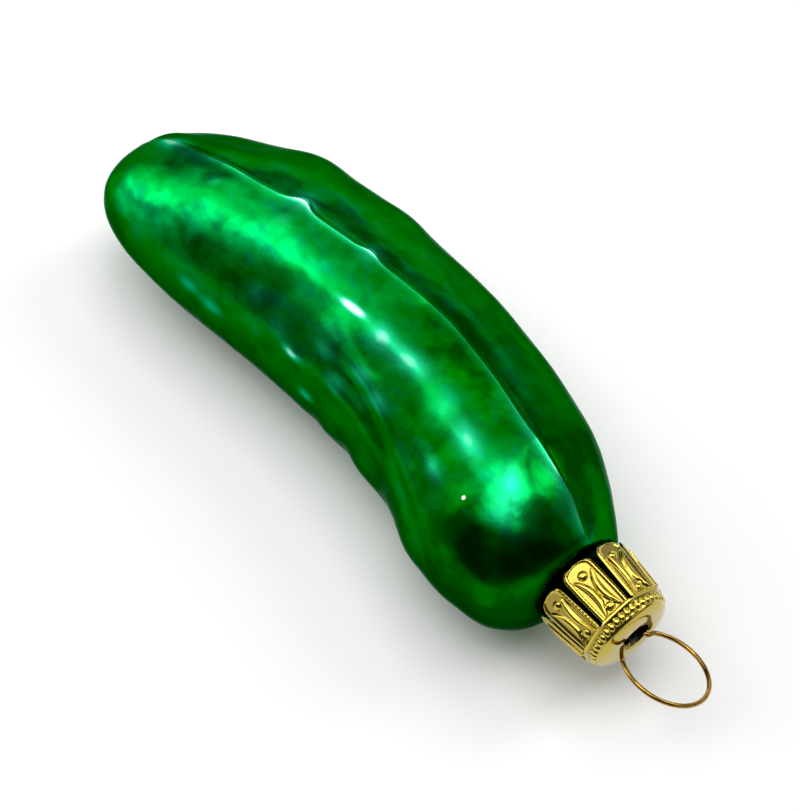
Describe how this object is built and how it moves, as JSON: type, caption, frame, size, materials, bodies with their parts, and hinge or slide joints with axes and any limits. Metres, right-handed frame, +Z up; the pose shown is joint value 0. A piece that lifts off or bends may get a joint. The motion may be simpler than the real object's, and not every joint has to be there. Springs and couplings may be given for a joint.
{
  "type": "pickle ornament",
  "caption": "Hollow curved glass pickle ornament with a petal crown cap on its neck and a wire loop that turns in the cap, for hanging from a branch or hook.",
  "frame": {"origin": "under the middle of the whole ornament's box, on the surface that it lies on", "axes": "+X along the neck's axis out of the neck, +Y towards the convex side of the bend, +Z up"},
  "size_m": [0.1156, 0.0341, 0.0293],
  "materials": {
    "lacquered_glass": "blown glass, silvered inside, satin translucent green lacquer outside",
    "gold_cap": "stamped sheet metal, bright gold",
    "hanger_wire": "drawn spring wire, gold"
  },
  "bodies": {
    "glass_body": {"glass_body": "lacquered_glass"},
    "crown_cap": {"crown_cap": "gold_cap"},
    "wire_hanger": {"wire_hanger": "hanger_wire"}
  },
  "joints": [
    {"name": "cap_pull", "type": "slide", "parent": "glass_body", "child": "crown_cap", "axis": [1, 0, 0], "range_m": [0, 0.02]},
    {"name": "hanger_swivel", "type": "hinge", "parent": "crown_cap", "child": "wire_hanger", "pos_m": [0.04537, -0.00186, 0.0143], "axis": [1, 0, 0], "continuous": true}
  ]
}
